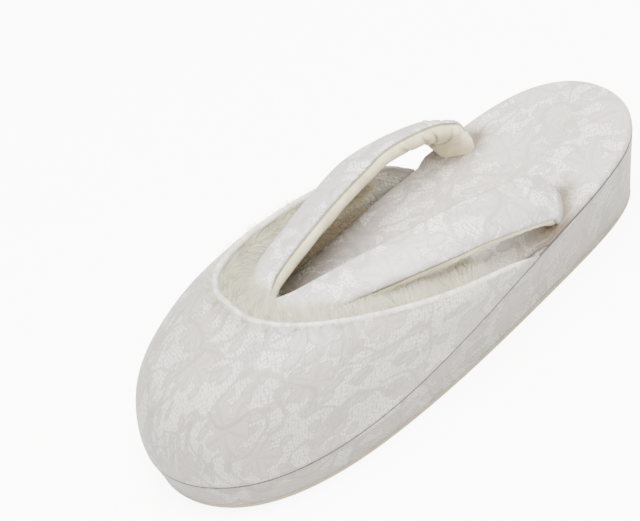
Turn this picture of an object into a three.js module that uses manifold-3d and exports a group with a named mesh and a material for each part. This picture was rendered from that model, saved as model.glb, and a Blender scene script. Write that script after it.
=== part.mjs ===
// Zori sandal with a fur-lined toe cover, all covered in pale lace-patterned vinyl. It is the same
// on both sides, so it fits either foot. Millimetres, +X to the toe, +Z up, the origin on the floor
// under the middle of the sole.
import * as THREE from 'three';
import { mergeVertices } from 'three/addons/utils/BufferGeometryUtils.js';
import Module from 'manifold-3d';

const wasm = await Module();
wasm.setup();

// Sole
const LENGTH = 230; // heel to toe, at the seam round the top of the sole body
const BALL_WIDTH = 85.8; // widest place of the same seam
const HEEL_HEIGHT = 40.8; // seam above the floor, at the back of the heel
const FORE_HEIGHT = 17; // seam above the floor, under the ball
const TOE_SPRING = 6.5; // how far the underside lifts at the tip of the toe
const FLAT_SHARE = 0.37; // the underside leaves the floor at this share of the half length
const HEEL_TAPER = 0.6; // the side wall leans in by this much down to the floor, at the heel
const TOE_TAPER = 1.9; // and at the toe
const OUTSOLE_THICK = 1.8;
const FOOTBED_THICK = 2.9;
const FOOTBED_CROWN = 0.5; // padding, higher along the middle than at the edge
const FOOTBED_ROUND = 1.7; // radius of the footbed's soft upper edge
const FOOTBED_ROLL = 0.5; // and of its lower edge
const GAP = 0.3; // between pieces that are glued or sewn to each other

// Toe cover
const COVER_WALL = 1.6;
const COVER_HEIGHT = 48.5; // throat above the seam, over the toes
const WING_END = -0.36; // the wings run back to this share of the half length
const BINDING_RADIUS = 1.2;
const BINDING_TAPER = 0.6; // the binding gets thinner by this share at the wings' ends
const FUR_AT_FOOT = 5; // pile of the lining, at the footbed
const FUR_AT_LIP = 13; // and just inside the throat, where it stands free
const LOCK_LENGTH = 5;
const LOCK_RADIUS = 2.3;
const LOCK_TIP = 0.15; // a lock's tip as a share of its root
const LOCK_BEND = new THREE.Vector3(-0.45, 0, -0.35); // how far a lock's tip hangs, as shares of its length

// Straps
const STRAP_WIDTH = 21; // across the lace face, at the widest
const STRAP_LIFT = 38.5; // middle of the face above the footbed, over the toes
const STRAP_FACE = 1.5; // thickness of the lace face
const STRAP_DEPTH = 7.6; // face and padded lining together
const PAD_EDGE = 1.2; // thickness of the lining at the straps' edges
const STRAP_CROWN = 1.3; // how far the face bulges between its edges
const CROWN_SINK = 0.4; // share of the crown that lies below the strap's middle line
const FACE_TURN = 0.3; // the face's edges turn down by this
const THONG_PLACE = 0.47; // share of the half length
const THONG_ALONG = 7;
const THONG_ACROSS = 9;
const TAIL_ALONG = 10; // the strap's end where it goes down through the footbed, along its width
const TAIL_ACROSS = 4.6; // and through its thickness
const TAIL_HEIGHT = 2; // the tail reaches this far up into the strap

const HALF_LENGTH = LENGTH / 2;
const HALF_BALL = BALL_WIDTH / 2;
const UP = new THREE.Vector3(0, 0, 1);

// How full the sole's outline is at each turn from the toe round to the heel, as shares of half the
// ball width: top is the seam, bottom is the tread.
const OUTLINE = [
  { turn: 0, top: 1.42, bottom: 1.427 },
  { turn: 30, top: 1.324, bottom: 1.287 },
  { turn: 60, top: 1.126, bottom: 1.04 },
  { turn: 90, top: 0.965, bottom: 0.855 },
  { turn: 120, top: 0.974, bottom: 0.774 },
  { turn: 150, top: 1.224, bottom: 0.886 },
  { turn: 180, top: 1.399, bottom: 1.0 },
];

// Height of the seam from the heel (-1) to the toe (1): rise is a share of the heel's extra height,
// spring a share of the toe spring.
const SEAM = [
  { along: -1, rise: 1, spring: 0 },
  { along: -0.75, rise: 0.907, spring: 0 },
  { along: -0.5, rise: 0.731, spring: 0 },
  { along: -0.25, rise: 0.506, spring: 0 },
  { along: 0, rise: 0.278, spring: 0 },
  { along: 0.25, rise: 0.095, spring: 0 },
  { along: 0.5, rise: 0, spring: 0 },
  { along: 0.75, rise: 0, spring: 0.037 },
  { along: 1, rise: 0, spring: 0.455 },
];

// The throat's edge from the middle of the toe to a wing's end: along and out are shares of the half
// length and of half the ball width, up a share of the cover's height above the seam.
const THROAT = [
  { along: 0.581, out: 0, up: 1 },
  { along: 0.57, out: 0.263, up: 1 },
  { along: 0.488, out: 0.538, up: 0.948 },
  { along: 0.3, out: 0.797, up: 0.798 },
  { along: 0.032, out: 0.97, up: 0.54 },
  { along: -0.235, out: 0.977, up: 0.243 },
  { along: WING_END, out: 0.879, up: 0 },
];

// Sections of one strap from the toe to its end in the footbed: along and out as above, lift and
// wide are shares of the strap's lift and width, lean is the face's outward tilt in degrees.
const STRAP = [
  { along: 0.51, out: 0.02, lift: 0.96, wide: 0.44, lean: 0 },
  { along: 0.42, out: 0.23, lift: 0.995, wide: 0.54, lean: 9 },
  { along: 0.317, out: 0.359, lift: 0.995, wide: 0.66, lean: 17 },
  { along: 0.165, out: 0.492, lift: 0.969, wide: 0.76, lean: 21 },
  { along: 0.036, out: 0.594, lift: 0.927, wide: 0.82, lean: 21 },
  { along: -0.075, out: 0.671, lift: 0.875, wide: 0.87, lean: 21 },
  { along: -0.175, out: 0.722, lift: 0.8, wide: 0.87, lean: 27 },
  { along: -0.295, out: 0.757, lift: 0.655, wide: 0.89, lean: 30 },
  { along: -0.404, out: 0.768, lift: 0.495, wide: 0.92, lean: 33 },
  { along: -0.473, out: 0.747, lift: 0.325, wide: 0.88, lean: 42 },
  { along: -0.498, out: 0.731, lift: 0.175, wide: 0.78, lean: 54 },
  { along: -0.512, out: 0.719, lift: 0.045, wide: 0.7, lean: 62 },
  { along: -0.52, out: 0.711, lift: -0.065, wide: 0.65, lean: 67 },
];

// Smooth curve through one column of a table, by place counted in rows.
function column(rows, key, place) {
  const last = rows.length - 1;
  const row = Math.min(Math.max(Math.floor(place), 0), last - 1);
  const t = place - row;
  const at = (i) => {
    if (i < 0) return 2 * rows[0][key] - rows[-i][key];
    if (i > last) return 2 * rows[last][key] - rows[2 * last - i][key];
    return rows[i][key];
  };
  const [a, b, c, d] = [at(row - 1), at(row), at(row + 1), at(row + 2)];
  return b + 0.5 * t * (c - a + t * (2 * a - 5 * b + 4 * c - d + t * (3 * (b - c) + d - a)));
}

// Cosine terms of the smooth closed outline through a column of OUTLINE.
function outlineTerms(key) {
  const last = OUTLINE.length - 1;
  return OUTLINE.map((_, k) => {
    let sum = 0;
    OUTLINE.forEach((row, j) => {
      const weight = j === 0 || j === last ? 0.5 : 1;
      sum += weight * row[key] * Math.cos((Math.PI * j * k) / last);
    });
    return (sum * (k === 0 || k === last ? 1 : 2)) / last;
  });
}

const TOP_TERMS = outlineTerms('top');
const BOTTOM_TERMS = outlineTerms('bottom');

function fullness(terms, turn) {
  return HALF_BALL * terms.reduce((sum, term, k) => sum + term * Math.cos(k * turn), 0);
}

// Point of the seam's outline, moved in by inset; turn runs from the toe over +Y to the heel.
function topOutline(turn, inset = 0) {
  const step = 1e-3;
  const at = (t) => new THREE.Vector3(HALF_LENGTH * Math.cos(t), fullness(TOP_TERMS, t) * Math.sin(t), 0);
  const along = at(turn + step).sub(at(turn - step)).normalize();
  const outward = new THREE.Vector3(along.y, -along.x, 0);
  return { point: at(turn).addScaledVector(outward, -inset), outward };
}

function bottomOutline(turn) {
  const half = HALF_LENGTH - (HEEL_TAPER + TOE_TAPER) / 2;
  const x = (HEEL_TAPER - TOE_TAPER) / 2 + half * Math.cos(turn);
  return new THREE.Vector3(x, fullness(BOTTOM_TERMS, turn) * Math.sin(turn), 0);
}

function seamHeight(x) {
  const place = ((x / HALF_LENGTH + 1) * (SEAM.length - 1)) / 2;
  const rise = column(SEAM, 'rise', place) * (HEEL_HEIGHT - FORE_HEIGHT);
  return FORE_HEIGHT + rise + column(SEAM, 'spring', place) * TOE_SPRING;
}

function undersideHeight(x) {
  const flatEnd = FLAT_SHARE * HALF_LENGTH;
  const share = Math.max(x - flatEnd, 0) / (HALF_LENGTH - flatEnd);
  return TOE_SPRING * share * share;
}

// Height of the footbed's upper face along the sole, without its crown.
function footbedHeight(x) {
  return seamHeight(x) + GAP + FOOTBED_THICK;
}

// Triangles as a closed mesh with its faces pointing out.
function closedGeometry(triangles) {
  let volume = 0;
  for (const [a, b, c] of triangles) volume += a.dot(new THREE.Vector3().crossVectors(b, c));
  const values = [];
  for (const [a, b, c] of triangles) {
    for (const p of volume < 0 ? [a, c, b] : [a, b, c]) values.push(p.x, p.y, p.z);
  }
  const geometry = new THREE.BufferGeometry();
  geometry.setAttribute('position', new THREE.Float32BufferAttribute(values, 3));
  return mergeVertices(geometry, 1e-4);
}

function addQuad(triangles, a, b, c, d) {
  triangles.push([a, b, c], [a, c, d]);
}

// Solid between two grids of points, closed round its four borders.
function thickSheet(outer, inner) {
  const triangles = [];
  const rows = outer.length - 1;
  const columns = outer[0].length - 1;
  for (let i = 0; i < rows; i++) {
    for (let j = 0; j < columns; j++) {
      addQuad(triangles, outer[i][j], outer[i + 1][j], outer[i + 1][j + 1], outer[i][j + 1]);
      addQuad(triangles, inner[i][j], inner[i][j + 1], inner[i + 1][j + 1], inner[i + 1][j]);
    }
    addQuad(triangles, outer[i][0], inner[i][0], inner[i + 1][0], outer[i + 1][0]);
    addQuad(triangles, outer[i][columns], outer[i + 1][columns], inner[i + 1][columns], inner[i][columns]);
  }
  for (let j = 0; j < columns; j++) {
    addQuad(triangles, outer[0][j], outer[0][j + 1], inner[0][j + 1], inner[0][j]);
    addQuad(triangles, outer[rows][j], inner[rows][j], inner[rows][j + 1], outer[rows][j + 1]);
  }
  return closedGeometry(triangles);
}

// Solid through rings of points, its two ends closed by fans.
function loft(rings) {
  const triangles = [];
  const count = rings[0].length;
  for (let r = 0; r + 1 < rings.length; r++) {
    for (let i = 0; i < count; i++) {
      const next = (i + 1) % count;
      addQuad(triangles, rings[r][i], rings[r][next], rings[r + 1][next], rings[r + 1][i]);
    }
  }
  const end = rings.length - 1;
  for (let i = 1; i + 1 < count; i++) {
    triangles.push([rings[0][0], rings[0][i + 1], rings[0][i]]);
    triangles.push([rings[end][0], rings[end][i], rings[end][i + 1]]);
  }
  return closedGeometry(triangles);
}

// Flat or crowned cap over a sole-shaped ring, in strips across from one side to the other.
function soleCap(ring, crown, across, upwards) {
  const half = ring.length / 2;
  const row = (i) => {
    if (i === 0 || i === half) return Array(across + 1).fill(ring[i]);
    return Array.from({ length: across + 1 }, (_, j) => {
      const share = j / across;
      const point = new THREE.Vector3().lerpVectors(ring[i], ring[ring.length - i], share);
      if (j > 0 && j < across) point.z += crown * (1 - (2 * share - 1) ** 2);
      return point;
    });
  };
  const triangles = [];
  for (let i = 0; i < half; i++) {
    const [a, b] = [row(i), row(i + 1)];
    for (let j = 0; j < across; j++) {
      const corners = [a[j], a[j + 1], b[j + 1], b[j]];
      if (upwards) corners.reverse();
      addQuad(triangles, ...corners);
    }
  }
  return triangles.filter(([p, q, r]) => !p.equals(q) && !q.equals(r) && !r.equals(p));
}

const SOLE_STEPS = 64;
const SOLE_ACROSS = 4;

function soleRing(pointAt) {
  return Array.from({ length: SOLE_STEPS }, (_, i) => pointAt((2 * Math.PI * i) / SOLE_STEPS));
}

// Solid through sole-shaped rings from the lowest to the highest.
function soleSolid(rings, crown = 0) {
  const triangles = [];
  for (let r = 0; r + 1 < rings.length; r++) {
    for (let i = 0; i < SOLE_STEPS; i++) {
      const next = (i + 1) % SOLE_STEPS;
      addQuad(triangles, rings[r][i], rings[r][next], rings[r + 1][next], rings[r + 1][i]);
    }
  }
  triangles.push(...soleCap(rings[0], 0, 1, false));
  triangles.push(...soleCap(rings[rings.length - 1], crown, crown > 0 ? SOLE_ACROSS : 1, true));
  return closedGeometry(triangles);
}

function toSolid(geometry) {
  const bare = geometry.clone();
  bare.deleteAttribute('normal');
  bare.deleteAttribute('uv');
  const merged = mergeVertices(bare, 1e-4);
  const mesh = new wasm.Mesh({
    numProp: 3,
    vertProperties: new Float32Array(merged.attributes.position.array),
    triVerts: new Uint32Array(merged.index.array),
  });
  return new wasm.Manifold(mesh);
}

// The cut body as a mesh, its nearly equal corners merged and the slivers between them left out.
function toGeometry(solid) {
  const mesh = solid.getMesh();
  const geometry = new THREE.BufferGeometry();
  geometry.setAttribute('position', new THREE.BufferAttribute(mesh.vertProperties, 3));
  geometry.setIndex(new THREE.BufferAttribute(mesh.triVerts, 1));
  const merged = mergeVertices(geometry, 2e-3);
  const corners = merged.index.array;
  const kept = [];
  for (let i = 0; i < corners.length; i += 3) {
    const [a, b, c] = corners.slice(i, i + 3);
    if (a !== b && b !== c && c !== a) kept.push(a, b, c);
  }
  merged.setIndex(kept);
  return merged;
}

// The body itself, without the crumbs that a cut leaves beside it.
function mainBody(solid) {
  return solid.decompose().reduce((best, body) => (body.volume() > best.volume() ? body : best));
}

function mirrored(geometry) {
  const copy = geometry.index ? geometry.toNonIndexed() : geometry.clone();
  const p = copy.attributes.position;
  const triangles = [];
  for (let i = 0; i < p.count; i += 3) {
    triangles.push([0, 1, 2].map((k) => new THREE.Vector3(p.getX(i + k), -p.getY(i + k), p.getZ(i + k))));
  }
  return closedGeometry(triangles);
}

// Thin tread sheet under the whole sole, bent up at the toe.
function outsole() {
  const ring = (lift) => soleRing((turn) => {
    const point = bottomOutline(turn);
    point.z = undersideHeight(point.x) + lift;
    return point;
  });
  return soleSolid([ring(0), ring(OUTSOLE_THICK)]);
}

// Wedge under the foot, its side wall leaning out from the tread to the seam.
function soleBody() {
  const foot = soleRing((turn) => {
    const point = bottomOutline(turn);
    point.z = undersideHeight(point.x) + OUTSOLE_THICK + GAP;
    return point;
  });
  const seam = soleRing((turn) => {
    const { point } = topOutline(turn);
    point.z = seamHeight(point.x);
    return point;
  });
  return soleSolid([foot, seam]);
}

// The footbed steps in where the toe cover's edge is tucked between it and the sole body.
const TUCK = COVER_WALL + 3 * GAP;
const TUCK_RUN = 0.04; // share of the half length over which it steps in

function footbedInset(x) {
  const start = (WING_END - TUCK_RUN) * HALF_LENGTH;
  return TUCK * THREE.MathUtils.smoothstep(x, start, WING_END * HALF_LENGTH - GAP);
}

const ARC_SHARE = 1 - Math.SQRT1_2; // how far the middle of a rounded edge lies from its square corner

function footbedRings(lift) {
  const profile = [
    { inset: FOOTBED_ROLL, height: 0 },
    { inset: 0, height: FOOTBED_ROLL },
    { inset: 0, height: FOOTBED_THICK - FOOTBED_ROUND },
    { inset: ARC_SHARE * FOOTBED_ROUND, height: FOOTBED_THICK - ARC_SHARE * FOOTBED_ROUND },
    { inset: FOOTBED_ROUND, height: FOOTBED_THICK },
  ];
  return profile.map(({ inset, height }) => soleRing((turn) => {
    const edge = footbedInset(HALF_LENGTH * Math.cos(turn));
    const { point } = topOutline(turn, edge + inset);
    point.z = seamHeight(point.x) + GAP + height + lift;
    return point;
  }));
}

// Upright oval plug, for what goes down through the footbed, turned about its upright axis.
function plug(place, along, across, low, high, turn = 0) {
  const shape = new THREE.Shape().absellipse(0, 0, along / 2, across / 2, 0, 2 * Math.PI);
  const options = { depth: high - low, bevelEnabled: false, curveSegments: 10 };
  const geometry = new THREE.ExtrudeGeometry(shape, options).rotateZ(turn);
  return geometry.translate(place.x, place.y, low);
}

const THONG_FOOT = new THREE.Vector3(THONG_PLACE * HALF_LENGTH, 0, 0);

// Where each strap's padded end goes down through the footbed, in line with its last section.
const lastSection = strapSection(STRAP.length - 1);
const TAIL_FOOT = lastSection.middle.clone()
  .addScaledVector(lastSection.up, -(STRAP_DEPTH + STRAP_FACE) / 2)
  .setZ(0);
const TAIL_TURN = Math.atan2(lastSection.out.y, lastSection.out.x);
const TAILS = [-1, 1].map((side) => ({
  place: TAIL_FOOT.clone().setY(side * TAIL_FOOT.y),
  along: TAIL_ALONG,
  across: TAIL_ACROSS,
  turn: side * TAIL_TURN,
}));

// Padded top sheet with its three holes for the thong and the strap ends.
function footbed() {
  let solid = toSolid(soleSolid(footbedRings(0), FOOTBED_CROWN));
  const holes = [{ place: THONG_FOOT, along: THONG_ALONG, across: THONG_ACROSS, turn: 0 }, ...TAILS];
  for (const { place, along, across, turn } of holes) {
    const cutter = plug(place, along + 2 * GAP, across + 2 * GAP, 0, 2 * HEEL_HEIGHT, turn);
    solid = solid.subtract(toSolid(cutter));
  }
  return toGeometry(solid);
}

// Everything up to just above the footbed, to trim what stands on it.
function belowFootbed() {
  const rings = footbedRings(GAP);
  const floor = soleRing((turn) => topOutline(turn, -COVER_WALL).point.setZ(-GAP));
  const skirt = soleRing((turn) => {
    const { point } = topOutline(turn, -COVER_WALL);
    return point.setZ(footbedHeight(point.x) + GAP);
  });
  return toSolid(soleSolid([floor, skirt, rings[rings.length - 1]], FOOTBED_CROWN));
}

// The toe cover's outer face: side runs from -1 at the far wing over 0 at the toe to 1 at the near
// wing, climb from 0 at the seam to 1 at the throat.
const WING_TURN = Math.acos(WING_END);
const WING_CROWD = 0.16; // how much closer the sections stand at the wing's end
// Curve of a section: rise and crest are the lengths of its two handles as shares of its reach, less
// at the wing by thin; droop is how far the upper handle points down at the toe, and dive how much
// further at the wing, in radians.
const SECTION = { rise: 0.55, crest: 0.3, thin: 0.045, droop: 0.5, dive: 0.39 };

function coverPoint(side, climb) {
  const share = Math.abs(side);
  const sign = side < 0 ? -1 : 1;
  const turn = sign * WING_TURN * ((1 + WING_CROWD) * share - WING_CROWD * share ** 6);
  const { point: base, outward } = topOutline(turn);
  base.z = seamHeight(base.x) + GAP;
  const place = share * (THROAT.length - 1);
  const throatX = column(THROAT, 'along', place) * HALF_LENGTH;
  const throat = new THREE.Vector3(
    throatX,
    sign * column(THROAT, 'out', place) * HALF_BALL,
    seamHeight(throatX) + GAP + column(THROAT, 'up', place) * COVER_HEIGHT,
  );
  const reach = throat.distanceTo(base);
  const rise = (SECTION.rise - SECTION.thin * share ** 2) * reach;
  const crest = (SECTION.crest - SECTION.thin * share ** 2) * reach;
  const droop = SECTION.droop + SECTION.dive * share ** 2;
  const low = base.clone().addScaledVector(UP, rise);
  const high = throat.clone()
    .addScaledVector(outward, crest * Math.cos(droop))
    .addScaledVector(UP, -crest * Math.sin(droop));
  const point = new THREE.CubicBezierCurve3(base, low, high, throat).getPoint(climb);
  return { point, crest, outward };
}

// Inward direction, square to the cover's face.
function coverInward(side, climb) {
  const step = 1e-3;
  const acrossFace = coverPoint(side + step, climb).point.sub(coverPoint(side - step, climb).point);
  const low = Math.max(climb - step, 0);
  const upFace = coverPoint(side, low + 2 * step).point.sub(coverPoint(side, low).point);
  return new THREE.Vector3().crossVectors(upFace, acrossFace).normalize();
}

const WING_STOP = 0.985; // the wings are cut square just before they run out
const COVER_STEPS = 46;
const COVER_ROWS = 9;
const sides = (count) => Array.from({ length: count + 1 }, (_, i) => WING_STOP * ((2 * i) / count - 1));

function bindingRadius(side) {
  const past = THREE.MathUtils.smoothstep(Math.abs(side), 0.8, WING_STOP);
  return BINDING_RADIUS * (1 - BINDING_TAPER * past);
}

// The cover and its lining stop short of the binding that is sewn over the edge.
function topClimb(side) {
  return 1 - (bindingRadius(side) + GAP) / (3 * coverPoint(side, 1).crest);
}

function coverClimbs(side) {
  const top = topClimb(side);
  return Array.from({ length: COVER_ROWS + 1 }, (_, j) => top * (1 - (1 - j / COVER_ROWS) ** 1.4));
}

// Strip folded over the throat's edge, as one roll.
const BINDING_SIDES = 6;

function throatBinding(extra = 0) {
  const rings = sides(COVER_STEPS).map((side) => {
    const step = 1e-3;
    const inward = coverInward(side, 1 - 2 * step);
    const along = coverPoint(side + step, 1).point.sub(coverPoint(side - step, 1).point).normalize();
    const across = new THREE.Vector3().crossVectors(along, inward).normalize();
    const centre = coverPoint(side, 1).point.addScaledVector(inward, COVER_WALL / 2);
    const radius = bindingRadius(side) + extra;
    return Array.from({ length: BINDING_SIDES }, (_, i) => {
      const angle = (2 * Math.PI * i) / BINDING_SIDES;
      return centre.clone()
        .addScaledVector(inward, radius * Math.cos(angle))
        .addScaledVector(across, radius * Math.sin(angle));
    });
  });
  return loft(rings);
}

function toeCover(bindingRoom) {
  const outer = [];
  const inner = [];
  for (const side of sides(COVER_STEPS)) {
    const climbs = coverClimbs(side);
    outer.push(climbs.map((climb) => coverPoint(side, climb).point));
    inner.push(climbs.map((climb) => coverPoint(side, climb).point
      .addScaledVector(coverInward(side, climb), COVER_WALL)));
  }
  return toGeometry(mainBody(toSolid(thickSheet(outer, inner)).subtract(bindingRoom)));
}

// Deep pile inside the cover: thin at the footbed, full and free at the throat, with combed locks.
const FUR_ROWS = 8;
const FUR_STOP = 0.78; // the pile ends before the wings do
const FUR_LIP = 0.9; // climb at which the pile is deepest
const FUR_THINS = { from: 0.62, to: 1.04, share: 0.35 }; // towards the wings' ends it is this thin
const FUR_LEAN = 0.95; // how flat the pile lies at the throat, from 0 to 1
const LOCK_ROWS = [
  { climb: 0.97, count: 20 },
  { climb: 0.85, count: 15 },
  { climb: 0.6, count: 12 },
];

function furDepth(side, climb) {
  const rise = FUR_AT_FOOT + (FUR_AT_LIP - FUR_AT_FOOT) * THREE.MathUtils.smoothstep(climb, 0, FUR_LIP);
  const past = Math.max(climb - FUR_LIP, 0) / (1 - FUR_LIP);
  const end = THREE.MathUtils.smoothstep(Math.abs(side), FUR_THINS.from, FUR_THINS.to);
  return rise * Math.sqrt(Math.max(1 - past ** 2, 0.02)) * (1 - (1 - FUR_THINS.share) * end);
}

// The pile leans in to the foot: square to the wall lower down, flatter towards the throat.
function furDirection(side, climb) {
  const flat = coverPoint(side, climb).outward.clone().negate();
  const lean = FUR_LEAN * climb ** 2 * THREE.MathUtils.smoothstep(Math.abs(side), 0.1, 0.75);
  return coverInward(side, climb).lerp(flat, lean).normalize();
}

function furPoint(side, climb) {
  const depth = COVER_WALL + GAP + furDepth(side, climb);
  return coverPoint(side, climb).point.addScaledVector(furDirection(side, climb), depth);
}

function lock(side, climb) {
  const root = furPoint(side, climb);
  const inwards = furDirection(side, climb);
  const rings = [-0.5, 0.5, 1].map((share) => {
    const centre = root.clone()
      .addScaledVector(inwards, share * LOCK_LENGTH)
      .addScaledVector(LOCK_BEND, Math.max(share, 0) ** 2 * LOCK_LENGTH);
    const radius = LOCK_RADIUS * (1 - (1 - LOCK_TIP) * Math.max(share, 0));
    const across = new THREE.Vector3().crossVectors(inwards, UP).normalize();
    const upright = new THREE.Vector3().crossVectors(across, inwards);
    return Array.from({ length: 4 }, (_, i) => centre.clone()
      .addScaledVector(across, radius * Math.cos((Math.PI * i) / 2))
      .addScaledVector(upright, 0.8 * radius * Math.sin((Math.PI * i) / 2)));
  });
  return loft(rings);
}

// Climb at which the cover's face passes the padded footbed.
function footClimb(side) {
  let [low, high] = [0, 1];
  for (let i = 0; i < 20; i++) {
    const middle = (low + high) / 2;
    const { point } = coverPoint(side, middle);
    if (point.z < footbedHeight(point.x) + FOOTBED_CROWN + GAP) low = middle;
    else high = middle;
  }
  return high;
}

function furLining() {
  const outer = [];
  const inner = [];
  for (const side of sides(COVER_STEPS).filter((value) => Math.abs(value) <= FUR_STOP)) {
    const low = footClimb(side);
    const high = topClimb(side) - GAP / coverPoint(side, 1).crest;
    const climbs = Array.from({ length: FUR_ROWS + 1 }, (_, j) => (
      low + (high - low) * (1 - (1 - j / FUR_ROWS) ** 1.4)
    ));
    outer.push(climbs.map((climb) => coverPoint(side, climb).point
      .addScaledVector(coverInward(side, climb), COVER_WALL + 2 * GAP)));
    inner.push(climbs.map((climb) => furPoint(side, climb)));
  }
  let solid = toSolid(thickSheet(outer, inner));
  for (const { climb, count } of LOCK_ROWS) {
    for (let i = 0; i < count; i++) {
      const side = 0.93 * FUR_STOP * ((2 * i) / (count - 1) - 1);
      solid = solid.add(toSolid(lock(side, climb)));
    }
  }
  return toGeometry(mainBody(solid));
}

// One strap's section at a place in its table: middle of the face, outward and upward directions.
function strapSection(place) {
  const middle = (p) => {
    const x = column(STRAP, 'along', p) * HALF_LENGTH;
    const y = column(STRAP, 'out', p) * HALF_BALL;
    return new THREE.Vector3(x, y, footbedHeight(x) + column(STRAP, 'lift', p) * STRAP_LIFT);
  };
  const step = 1e-3;
  const along = middle(place + step).sub(middle(place - step)).normalize();
  const level = new THREE.Vector3().crossVectors(UP, along).negate().normalize();
  const lean = THREE.MathUtils.degToRad(column(STRAP, 'lean', place));
  const out = level.applyAxisAngle(along, lean);
  const up = new THREE.Vector3().crossVectors(out, along).normalize();
  return { middle: middle(place), out, up, half: (column(STRAP, 'wide', place) * STRAP_WIDTH) / 2 };
}

const STRAP_STEPS = 24;
const STRAP_SHARES = [-1, -0.82, -0.45, 0, 0.45, 0.82, 1];

// Grid over one strap at a height that is given across the section.
function strapGrid(heightAt, spread) {
  return Array.from({ length: STRAP_STEPS + 1 }, (_, i) => {
    const { middle, out, up, half } = strapSection(((STRAP.length - 1) * i) / STRAP_STEPS);
    return STRAP_SHARES.map((share) => middle.clone()
      .addScaledVector(out, share * (half + spread))
      .addScaledVector(up, heightAt(share)));
  });
}

const crownAt = (share) => STRAP_CROWN * (1 - CROWN_SINK - share ** 2);

// Lace faces of both straps, joined over the toes.
function strapFace(trim) {
  const top = strapGrid((share) => crownAt(share) - FACE_TURN * share ** 6, 0);
  const bottom = strapGrid((share) => crownAt(share) - STRAP_FACE, 0);
  const arm = thickSheet(top, bottom);
  return toGeometry(mainBody(toSolid(arm).add(toSolid(mirrored(arm))).subtract(trim)));
}

// Padded linings of both straps, joined over the toes, with the ends that go down into the sole.
function strapLining(trim) {
  const depth = STRAP_DEPTH - STRAP_FACE - GAP;
  const top = strapGrid((share) => crownAt(share) - STRAP_FACE, -GAP);
  const bottom = strapGrid((share) => {
    const pad = Math.sqrt(Math.max(1 - share ** 2, 0));
    return crownAt(share) - STRAP_FACE - GAP - PAD_EDGE - (depth - PAD_EDGE) * pad;
  }, -GAP);
  const arm = thickSheet(top, bottom);
  const clear = thickSheet(
    strapGrid((share) => crownAt(share) + STRAP_FACE, 2 * GAP),
    strapGrid((share) => crownAt(share) - STRAP_FACE - GAP, 2 * GAP),
  );
  const bothFaces = toSolid(clear).add(toSolid(mirrored(clear)));
  const bothPads = toSolid(arm).add(toSolid(mirrored(arm)));
  let solid = mainBody(bothPads.subtract(trim));
  for (const { place, along, across, turn } of TAILS) {
    const low = seamHeight(place.x - along / 2) + GAP;
    const tail = plug(place, along, across, low, footbedHeight(place.x) + TAIL_HEIGHT, turn);
    solid = solid.add(toSolid(tail));
  }
  return toGeometry(mainBody(solid.subtract(bothFaces)));
}

// Soft loop that holds the joined straps down between the toes.
function toeThong(lining) {
  const low = seamHeight(THONG_FOOT.x - THONG_ALONG / 2) + GAP;
  const high = footbedHeight(THONG_FOOT.x) + STRAP_LIFT;
  const post = toSolid(plug(THONG_FOOT, THONG_ALONG, THONG_ACROSS, low, high - STRAP_DEPTH - GAP));
  return toGeometry(mainBody(post.subtract(toSolid(lining).translate(0, 0, -GAP))));
}

function finish(color, roughness) {
  return new THREE.MeshStandardMaterial({ color, roughness, metalness: 0 });
}

const trim = belowFootbed();
const bindingRoom = toSolid(throatBinding(GAP));
const lining = strapLining(trim);
const pieces = [
  ['outsole', outsole(), finish(0xb7a893, 0.8)],
  ['sole_body', soleBody(), finish(0xd6d0cf, 0.55)],
  ['footbed', footbed(), finish(0xe4dfe2, 0.55)],
  ['toe_cover', toeCover(bindingRoom), finish(0xdedadb, 0.55)],
  ['throat_binding', throatBinding(), finish(0xf1f0ee, 0.5)],
  ['fur_lining', furLining(), finish(0xe2e1d6, 0.95)],
  ['strap_face', strapFace(trim), finish(0xe6e2e5, 0.55)],
  ['strap_lining', lining, finish(0xe0ddcc, 0.9)],
  ['toe_thong', toeThong(lining), finish(0xe0ddcc, 0.9)],
];

const group = new THREE.Group();
for (const [name, geometry, material] of pieces) {
  const mesh = new THREE.Mesh(geometry, material);
  mesh.name = name;
  group.add(mesh);
}

export default group;
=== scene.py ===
import math

import bmesh
import bpy
import numpy as np
from mathutils import Matrix, Vector


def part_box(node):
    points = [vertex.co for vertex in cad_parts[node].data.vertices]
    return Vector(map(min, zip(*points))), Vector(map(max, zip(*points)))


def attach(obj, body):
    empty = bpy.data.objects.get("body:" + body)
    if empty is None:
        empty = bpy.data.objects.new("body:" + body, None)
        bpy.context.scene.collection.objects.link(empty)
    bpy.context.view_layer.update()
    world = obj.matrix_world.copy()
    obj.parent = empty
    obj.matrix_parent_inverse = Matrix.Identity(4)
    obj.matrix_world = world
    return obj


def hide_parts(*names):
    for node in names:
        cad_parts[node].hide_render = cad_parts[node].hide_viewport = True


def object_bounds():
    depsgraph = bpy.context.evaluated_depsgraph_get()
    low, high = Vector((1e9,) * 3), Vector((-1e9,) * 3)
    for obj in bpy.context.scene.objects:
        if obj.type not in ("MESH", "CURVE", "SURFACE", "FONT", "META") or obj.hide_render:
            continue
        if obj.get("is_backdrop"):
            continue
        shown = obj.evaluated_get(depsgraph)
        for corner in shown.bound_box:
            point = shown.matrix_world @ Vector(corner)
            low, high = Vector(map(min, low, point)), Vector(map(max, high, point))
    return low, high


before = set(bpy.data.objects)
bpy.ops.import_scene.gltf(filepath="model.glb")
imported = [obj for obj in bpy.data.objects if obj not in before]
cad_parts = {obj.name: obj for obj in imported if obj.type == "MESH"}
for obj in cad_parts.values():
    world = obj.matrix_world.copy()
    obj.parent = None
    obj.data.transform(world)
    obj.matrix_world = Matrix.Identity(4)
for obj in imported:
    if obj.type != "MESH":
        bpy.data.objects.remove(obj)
cad_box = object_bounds()

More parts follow.
